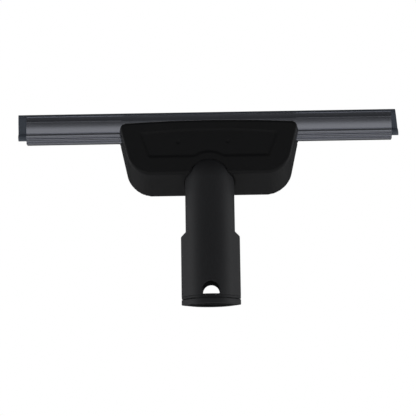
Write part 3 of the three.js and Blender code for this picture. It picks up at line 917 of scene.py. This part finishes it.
class SQUEEGEE_OT_channel(bpy.types.Operator):
    """Make the drawn aluminium channel"""

    bl_idname = "squeegee.channel"
    bl_label = "Blade channel"

    def execute(self, context):
        section = channel_section(context.scene.squeegee_channel)
        xs = np.linspace(CHANNEL[0].x, CHANNEL[1].x, 25)
        sections = [[(x, y, z) for y, z in section] for x in xs]
        piece = sweep("blade_holder", sections, "channel_aluminium")
        settle(piece, "head", "channel_aluminium", "blade_channel")
        return {"FINISHED"}


class SQUEEGEE_OT_blade(bpy.types.Operator):
    """Make the rubber blade"""

    bl_idname = "squeegee.blade"
    bl_label = "Rubber blade"

    def execute(self, context):
        sizes = context.scene.squeegee_blade
        section = blade_section(sizes, context.scene.squeegee_channel)
        sections = []
        for x in np.linspace(BLADE[0].x, BLADE[1].x, 61):
            share = (x - BLADE[0].x) / (BLADE[1].x - BLADE[0].x)
            sections.append([
                (x - max(0.0, 4 * share - 3) * sizes.slant * (z - BLADE[0].z), y, z)
                for y, z in section])
        piece = sweep("blade_strip", sections, "blade_rubber")
        settle(piece, "blade", "blade_rubber", "rubber_blade")
        return {"FINISHED"}


class SQUEEGEE_OT_screws(bpy.types.Operator):
    """Make the screws, placed on points by Geometry Nodes"""

    bl_idname = "squeegee.screws"
    bl_label = "Screws"

    def execute(self, context):
        self.row("cover_screws", COVER_SCREWS, 1)
        self.row("bracket_screws", BRACKET_SCREWS, -1)
        return {"FINISHED"}

    def row(self, name, nodes, facing):
        low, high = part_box(nodes[0])
        radius = (high.x - low.x) / 2
        screw = turned(name + "_one", screw_outline(radius, high.y - low.y), "screw_steel", 40)
        cut_cross(screw, radius)
        places = [(x, b.y if facing > 0 else a.y, z) for a, b, (x, z) in seats(nodes)]
        turn = Matrix.Rotation(math.radians(-90 if facing > 0 else 90), 4, "X")
        screw.data.transform(turn)
        mesh = bpy.data.meshes.new(name)
        mesh.from_pydata(places, [], [])
        carrier = bpy.data.objects.new(name, mesh)
        bpy.context.scene.collection.objects.link(carrier)
        piece = placed_on_points(carrier, screw, finish_named("screw_steel"))
        bpy.data.objects.remove(screw)
        settle(piece, "head", "screw_steel", *nodes)


def screw_outline(head_radius, whole):
    """Half the outline of a pan-head screw about Z, head up at zero, with ridges for its thread."""
    head = head_radius * 0.55
    shank = head_radius * 0.52
    dome = [(head_radius * math.cos(t), -head * 0.45 + head * 0.45 * math.sin(t))
            for t in np.radians(np.linspace(0, 90, 9))]
    points = [(max(r, 1e-5), z) for r, z in dome[::-1]]
    points.append((head_radius, -head))
    pitch = head_radius * 0.32
    turns = int((whole - head) / pitch) - 1
    for i in range(turns):
        z = -head - i * pitch
        points += [(shank * 0.78, z - 0.1 * pitch), (shank, z - 0.5 * pitch),
                   (shank * 0.78, z - 0.9 * pitch)]
    points.append((1e-5, -whole))
    return points


def cut_cross(screw, radius):
    """Sinks a cross recess in the head."""
    arms = []
    for wide, thin in ((0.56, 0.13), (0.13, 0.56)):
        bpy.ops.mesh.primitive_cube_add(size=2)
        arm = bpy.context.object
        arm.scale = (radius * wide, radius * thin, radius * 0.32)
        arms.append(arm)
    for arm in arms:
        modifier = screw.modifiers.new("cross", "BOOLEAN")
        modifier.operation = "DIFFERENCE"
        modifier.solver = "EXACT"
        modifier.object = arm
    view = bpy.context.evaluated_depsgraph_get()
    made = bpy.data.meshes.new_from_object(screw.evaluated_get(view))
    screw.modifiers.clear()
    screw.data = made
    for arm in arms:
        bpy.data.objects.remove(arm)


def placed_on_points(carrier, source, material):
    """Copies of the source on the carrier's points, by a Geometry Nodes tree, as a plain mesh."""
    tree = bpy.data.node_groups.new("pieces_on_points", "GeometryNodeTree")
    tree.is_modifier = True
    sockets = {}
    for name, kind in (("Geometry", "Geometry"), ("Piece", "Object"), ("Scale", "Float"),
                       ("Finish", "Material")):
        sockets[name] = tree.interface.new_socket(
            name, in_out="INPUT", socket_type="NodeSocket" + kind)
    tree.interface.new_socket("Geometry", in_out="OUTPUT", socket_type="NodeSocketGeometry")
    asked, given, info, points, copies, real, paint = [tree.nodes.new(kind) for kind in (
        "NodeGroupInput", "NodeGroupOutput", "GeometryNodeObjectInfo", "GeometryNodeMeshToPoints",
        "GeometryNodeInstanceOnPoints", "GeometryNodeRealizeInstances",
        "GeometryNodeSetMaterial")]
    for start, output, end, entry in (
            (asked, "Geometry", points, "Mesh"), (asked, "Piece", info, "Object"),
            (points, "Points", copies, "Points"), (info, "Geometry", copies, "Instance"),
            (asked, "Scale", copies, "Scale"), (copies, "Instances", real, "Geometry"),
            (real, "Geometry", paint, "Geometry"), (asked, "Finish", paint, "Material"),
            (paint, "Geometry", given, "Geometry")):
        tree.links.new(start.outputs[output], end.inputs[entry])
    modifier = carrier.modifiers.new("copies", "NODES")
    modifier.node_group = tree
    for name, value in (("Piece", source), ("Scale", 1.0), ("Finish", material)):
        modifier[sockets[name].identifier] = value
    carrier.update_tag()
    bpy.context.view_layer.update()
    view = bpy.context.evaluated_depsgraph_get()
    made = bpy.data.meshes.new_from_object(carrier.evaluated_get(view))
    carrier.modifiers.clear()
    carrier.data = made
    return carrier


class SQUEEGEE_OT_steam_way(bpy.types.Operator):
    """Make the inlet and its seal, and finish the pieces inside the head"""

    bl_idname = "squeegee.steam_way"
    bl_label = "Steam way"

    def execute(self, context):
        self.inlet()
        self.seal()
        for entry in frame["record"]["subparts"]:
            node = frame["nodes"][entry["node"]]
            if node.hide_render:
                continue
            node.data.materials.clear()
            node.data.materials.append(finish_named(entry["material_slot"]))
        return {"FINISHED"}

    def inlet(self):
        low, high = INLET
        seal_low, seal_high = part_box("inlet_seal")
        flange = high.x
        stem = flange / 2
        bore = 1.5 * MM
        nipple = 2.2 * MM
        flange_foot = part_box("inlet_washer")[1].z + FIT_GAP
        flange_top = flange_foot + 1.8 * MM
        profile = [
            (bore + 0.3 * MM, low.z), (bore, low.z + 0.3 * MM), (bore, high.z - 0.3 * MM),
            (bore + 0.2 * MM, high.z), (nipple - 0.2 * MM, high.z), (nipple, high.z - 0.3 * MM),
            (nipple, flange_top), (flange - 0.3 * MM, flange_top),
            (flange, flange_top - 0.3 * MM), (flange, flange_foot),
            (stem, flange_foot), (stem, seal_high.z + 0.15 * MM),
            (stem - 0.9 * MM, seal_high.z + 0.15 * MM), (stem - 0.9 * MM, seal_low.z - 0.15 * MM),
            (stem, seal_low.z - 0.15 * MM), (stem, low.z + 0.8 * MM), (stem - 0.6 * MM, low.z)]
        piece = turned("steam_spigot", profile, "inner_plastic")
        settle(piece, "head", "inner_plastic", "steam_inlet")

    def seal(self):
        low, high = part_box("inlet_seal")
        cord = (high.z - low.z) / 2
        ring = arc((high.x - cord, low.z + cord), cord, 360, 0, 20)[:-1]
        piece = turned("spigot_seal", ring, "seal_silicone")
        settle(piece, "head", "seal_silicone", "inlet_seal")


class SQUEEGEE_OT_studio(bpy.types.Operator):
    """Set up the camera, the soft lights and the pale floor"""

    bl_idname = "squeegee.studio"
    bl_label = "Studio"

    def execute(self, context):
        studio = context.scene.squeegee_studio
        self.camera(context, studio)
        self.room(context, studio)
        centre = Vector((0, 0, 80 * MM))
        for side in (-1, 1):
            self.light("side_light", centre + Vector((side * 0.95, 0.12, -0.05)), centre,
                       (1.1, 1.2), studio.side_power)
        self.light("front_light", centre + Vector((0, -1.6, 0.22)), centre, (3.2, 0.5),
                   studio.front_power)
        self.light("window_light", centre + Vector((0, 1.5, 0.9)), centre, (2.4, 1.0),
                   studio.window_power)
        above_floor = centre + Vector((0, -0.9, -0.25))
        self.light("floor_light", above_floor, above_floor - Vector((0, 0, 1)), (2.6, 1.2),
                   studio.floor_power)
        self.floor(studio)
        return {"FINISHED"}

    @staticmethod
    def camera(context, studio):
        data = bpy.data.cameras.new("camera")
        data.lens = studio.lens
        data.sensor_width = 36
        data.clip_start = 0.02
        camera = bpy.data.objects.new("camera", data)
        azimuth, elevation = math.radians(studio.azimuth), math.radians(studio.elevation)
        way = Vector((math.sin(azimuth) * math.cos(elevation),
                      -math.cos(azimuth) * math.cos(elevation), math.sin(elevation)))
        turn = way.to_track_quat("Z", "Y").to_matrix().to_4x4()
        roll = Matrix.Rotation(math.radians(-studio.roll), 4, "Z")
        camera.matrix_world = (
            Matrix.Translation(Vector(studio.aim) + way * studio.distance) @ turn @ roll)
        context.scene.collection.objects.link(camera)
        context.scene.camera = camera

    @staticmethod
    def room(context, studio):
        """White to look at, and a dim even fill as light."""
        world = bpy.data.worlds.new("room")
        world.use_nodes = True
        nodes, link = world.node_tree.nodes, world.node_tree.links.new
        nodes.clear()
        path = nodes.new("ShaderNodeLightPath")
        both = nodes.new("ShaderNodeMixShader")
        output = nodes.new("ShaderNodeOutputWorld")
        link(path.outputs["Is Camera Ray"], both.inputs[0])
        for entry, tint, strength in ((1, (0.95, 0.97, 1, 1), studio.fill), (2, (1, 1, 1, 1), 1)):
            glow = nodes.new("ShaderNodeBackground")
            glow.inputs["Color"].default_value = tint
            glow.inputs["Strength"].default_value = strength
            link(glow.outputs[0], both.inputs[entry])
        link(both.outputs[0], output.inputs["Surface"])
        context.scene.world = world
        context.scene.view_settings.view_transform = "Standard"

    @staticmethod
    def light(name, place, aim, size, power):
        data = bpy.data.lights.new(name, "AREA")
        data.shape = "RECTANGLE"
        data.size, data.size_y = size
        data.energy = power
        light = bpy.data.objects.new(name, data)
        turn = (place - aim).to_track_quat("Z", "Y").to_matrix().to_4x4()
        light.matrix_world = Matrix.Translation(place) @ turn
        light.visible_camera = False
        bpy.context.scene.collection.objects.link(light)

    @staticmethod
    def floor(studio):
        half = 3.0
        z = RING[0].z - studio.floor_drop
        floor = new_piece(
            "floor", [(-half, -half, z), (half, -half, z), (half, half, z), (-half, half, z)],
            [(0, 1, 2, 3)], "pale_floor")


class SQUEEGEE_PT_panel(bpy.types.Panel):
    """Lists the pieces that can be made"""

    bl_idname = "SQUEEGEE_PT_panel"
    bl_label = "Window squeegee head"
    bl_space_type = "VIEW_3D"
    bl_region_type = "UI"
    bl_category = "Squeegee"

    def draw(self, context):
        for operator in OPERATORS:
            self.layout.operator(operator.bl_idname)
        for name in SETTINGS:
            box = self.layout.box()
            group = getattr(context.scene, name)
            box.label(text=SETTINGS[name].__doc__)
            for key in group.bl_rna.properties.keys():
                if key not in ("rna_type", "name"):
                    box.prop(group, key)


SETTINGS = {
    "squeegee_head": SqueegeeHead, "squeegee_socket": SqueegeeSocket,
    "squeegee_channel": SqueegeeChannel, "squeegee_blade": SqueegeeBlade,
    "squeegee_jets": SqueegeeJets, "squeegee_finish": SqueegeeFinish,
    "squeegee_studio": SqueegeeStudio,
}
OPERATORS = (
    SQUEEGEE_OT_housing, SQUEEGEE_OT_socket, SQUEEGEE_OT_cover, SQUEEGEE_OT_end_ring,
    SQUEEGEE_OT_channel, SQUEEGEE_OT_blade, SQUEEGEE_OT_screws, SQUEEGEE_OT_steam_way,
    SQUEEGEE_OT_studio,
)


def register():
    for group in SETTINGS.values():
        bpy.utils.register_class(group)
    for name, group in SETTINGS.items():
        setattr(bpy.types.Scene, name, bpy.props.PointerProperty(type=group))
    for made in (*OPERATORS, SQUEEGEE_PT_panel):
        bpy.utils.register_class(made)


def unregister():
    for made in (SQUEEGEE_PT_panel, *reversed(OPERATORS)):
        bpy.utils.unregister_class(made)
    for name, group in SETTINGS.items():
        delattr(bpy.types.Scene, name)
        bpy.utils.unregister_class(group)


def main():
    register()
    bpy.ops.squeegee.housing()
    bpy.ops.squeegee.socket()
    bpy.ops.squeegee.cover()
    bpy.ops.squeegee.end_ring()
    bpy.ops.squeegee.channel()
    bpy.ops.squeegee.blade()
    bpy.ops.squeegee.screws()
    bpy.ops.squeegee.steam_way()
    bpy.ops.squeegee.studio()


if __name__ == "__main__":
    main()
